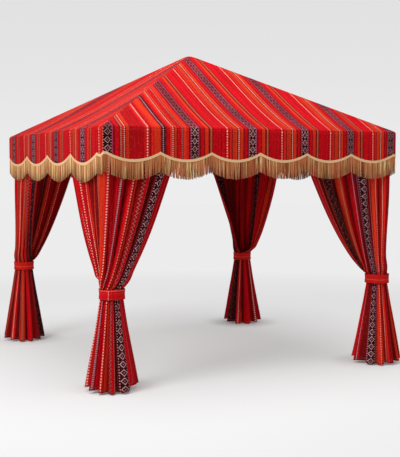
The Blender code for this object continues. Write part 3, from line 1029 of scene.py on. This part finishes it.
def tie_band(k):
    """Flat band round the gather, pulled a little out of round, its end lapped over.
    The front left one shows the lower part of the pattern, the others the upper part."""
    name = CORNERS[k]
    cols, rows = 97, 13
    turn = np.linspace(0, 2 * math.pi, cols)[None, :]
    t = np.linspace(0, 1, rows)[:, None]
    z = TIE_LOW + (TIE_HIGH - TIE_LOW) * t
    waist = 0.0016 * np.sin(turn * 5 + k) + 0.0010 * np.sin(turn * 11 + 2 * k)
    waist = waist + 0.0014 * np.cos(2 * math.pi * t)
    r = BAND_R[name] + waist + np.where(turn > 2 * math.pi - LAP_TURN, LAP_T, 0.0)
    seam = -15 if k == 0 else 180
    start = math.radians(FACING[k] - 90 * k + seam) - SEAM_TURN
    x = TIE_IN + r * np.cos(turn + start)
    y = TIE_IN + r * np.sin(turn + start)
    z = z + 0.0012 * np.sin(turn * 3 + k)
    shown = t if k == 0 else 1.001 + 0.998 * t
    piece = make("tieback_" + name + "_band", at_corner(k, x, y, z), grid_faces(rows, cols),
                 {"Cloth": uv_map((turn - SEAM_TURN) * PATTERN_R, shown)})
    thicken(piece, BAND_T, 0.0)
    return finish_piece(piece, TIE_CLOTH, ["tieback_" + name])


def sleeve(k):
    """Cloth sleeve round the post, a little loose."""
    name = CORNERS[k]
    cols, rows = 40, 70
    turn = (np.arange(cols) / cols * 2 * math.pi)[None, :]
    z = np.linspace(0.0065, BEAM_LOW - 0.001, rows)[:, None]
    r = SLEEVE_R + 0.0009 * np.sin(turn * 4 + z * 3) + 0.0006 * np.sin(z * 31 + turn * 2)
    x = POST_IN + r * np.cos(turn)
    y = POST_IN + r * np.sin(turn)
    stripe = 0.25 + np.abs(turn - math.pi) * 0.031 / SLEEVE_REPEAT
    cloth = uv_map(stripe, ROOF_LENGTH - z)
    piece = make("post_sleeve_" + name + "_cloth", at_corner(k, x, y, z),
                 grid_faces(rows, cols, loop=True), {"Cloth": cloth, "Seam": np.ones(cloth.shape)})
    thicken(piece, SLEEVE_T)
    return finish_piece(piece, CLOTH, ["post_sleeve_" + name])


# The part: its cloth pieces, and the metal of its frame

roof = sewn("roof_cover", roof_side, "roof_panel_")
skirt = sewn("valance", valance_side, "valance_")
braids = [braid(k) for k in range(4)]
fringes = [fringe(k) for k in range(4)]
curtains = [curtain(k) for k in range(4)]
bands = [tie_band(k) for k in range(4)]
sleeves = [sleeve(k) for k in range(4)]

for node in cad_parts.values():
    steel = node.name.startswith(("post_", "eave_beam", "hip_rafter", "foot_plate"))
    cast = node.name.startswith(("corner_bracket", "apex_hub"))
    if steel or cast:
        for place in node.material_slots:
            place.material = STEEL if steel else CAST


# Studio

FLOOR_SIZE, FLOOR_LOW = 40.0, 0.0005
PALE = rgb(236, 236, 236)
# Height above the horizon, and the grey of the background there
SKY = ((0.0, 237), (0.10, 229), (0.20, 224), (0.45, 110))
# The photograph's camera, fitted to points of the tent: place, direction and lens
CAMERA_AT = (-4.205, -8.896, 1.857)
HEADING, DIP = math.radians(64.04), math.radians(-3.41)
SENSOR = 36.0
FOCAL_PIXELS, PHOTO_HIGH = 944.9, 457


def floor():
    """Pale floor that glows more further out, a painted light over the shadows on it, with a
    painted shade round each foot, where it glows less.
    """
    corners = [(-1, -1), (1, -1), (1, 1), (-1, 1)]
    points = [(FLOOR_SIZE * x, FLOOR_SIZE * y, 0) for x, y in corners]
    made = make("studio_floor", points, [(0, 1, 2, 3)], smooth=False)
    made.location.z = -FLOOR_LOW
    g = Graph("studio_floor", 0.9)
    g.shader.inputs["Base Color"].default_value = (0.80, 0.80, 0.80, 1)
    g.shader.inputs["Specular IOR Level"].default_value = 0.1
    painted_glow = g.node("Emission", PALE)
    spot = g.node("VectorMath", g.place())
    spot.operation = "LENGTH"
    dx, dy = (g.minus(g.math("ABSOLUTE", x), HALF - TIE_IN) for x in g.apart(g.place()))
    foot = g.math("SQRT", g.plus(g.times(dx, dx), g.times(dy, dy)))
    # Share of the painted glow: more further out, and less round each foot, a painted shade
    outer = g.spread(spot.outputs["Value"], 3.0, 8.0, 0.54, 1.0)
    share = g.times(outer, g.spread(foot, 0.15, 0.48, 0.25, 1.0))
    blend = g.node("MixShader", share, g.shader.outputs[0], painted_glow.outputs[0])
    g.link(blend.outputs[0], g.tree.nodes["Material Output"].inputs[0])
    made.data.materials.append(g.material)


def lamp(name, place, target, size, power):
    """Round area lamp that faces its target."""
    light = bpy.data.lights.new(name, "AREA")
    light.shape, light.size, light.energy = "DISK", size, power
    made = bpy.data.objects.new(name, light)
    bpy.context.scene.collection.objects.link(made)
    made.location = place
    made.rotation_mode = "QUATERNION"
    made.rotation_quaternion = (Vector(target) - Vector(place)).to_track_quat("-Z", "Y")


def studio_world():
    """Pale round the horizon, like the floor, and dimmer above, where the lamps are."""
    world = bpy.data.worlds.new("studio")
    world.use_nodes = True
    tree = world.node_tree
    sky = tree.nodes.new("ShaderNodeTexCoord")
    split = tree.nodes.new("ShaderNodeSeparateXYZ")
    tree.links.new(sky.outputs["Generated"], split.inputs[0])
    ramp = tree.nodes.new("ShaderNodeValToRGB")
    stops = ramp.color_ramp.elements
    while len(stops) < len(SKY):
        stops.new(0.5)
    for stop, (at, grey) in zip(stops, SKY):
        stop.position = at
        stop.color = (*rgb(grey, grey, grey), 1)
    tree.links.new(split.outputs[2], ramp.inputs[0])
    tree.links.new(ramp.outputs[0], tree.nodes["Background"].inputs[0])
    bpy.context.scene.world = world


def photo_camera():
    shot = bpy.data.cameras.new("camera")
    shot.sensor_width = SENSOR
    shot.lens = FOCAL_PIXELS / PHOTO_HIGH * SENSOR
    camera = bpy.data.objects.new("camera", shot)
    bpy.context.scene.collection.objects.link(camera)
    camera.location = CAMERA_AT
    level = math.cos(DIP)
    look = Vector((math.cos(HEADING) * level, math.sin(HEADING) * level, math.sin(DIP)))
    camera.rotation_mode = "QUATERNION"
    camera.rotation_quaternion = look.to_track_quat("-Z", "Y")
    bpy.context.scene.camera = camera


floor()
studio_world()
lamp("key", (-7.5, -3.5, 6.5), (0, 0, 1.5), 4.0, 530)
lamp("over", (0.0, -0.8, 8.5), (0, 0, 1.5), 7.0, 640)
bpy.context.scene.view_settings.view_transform = "Standard"
photo_camera()
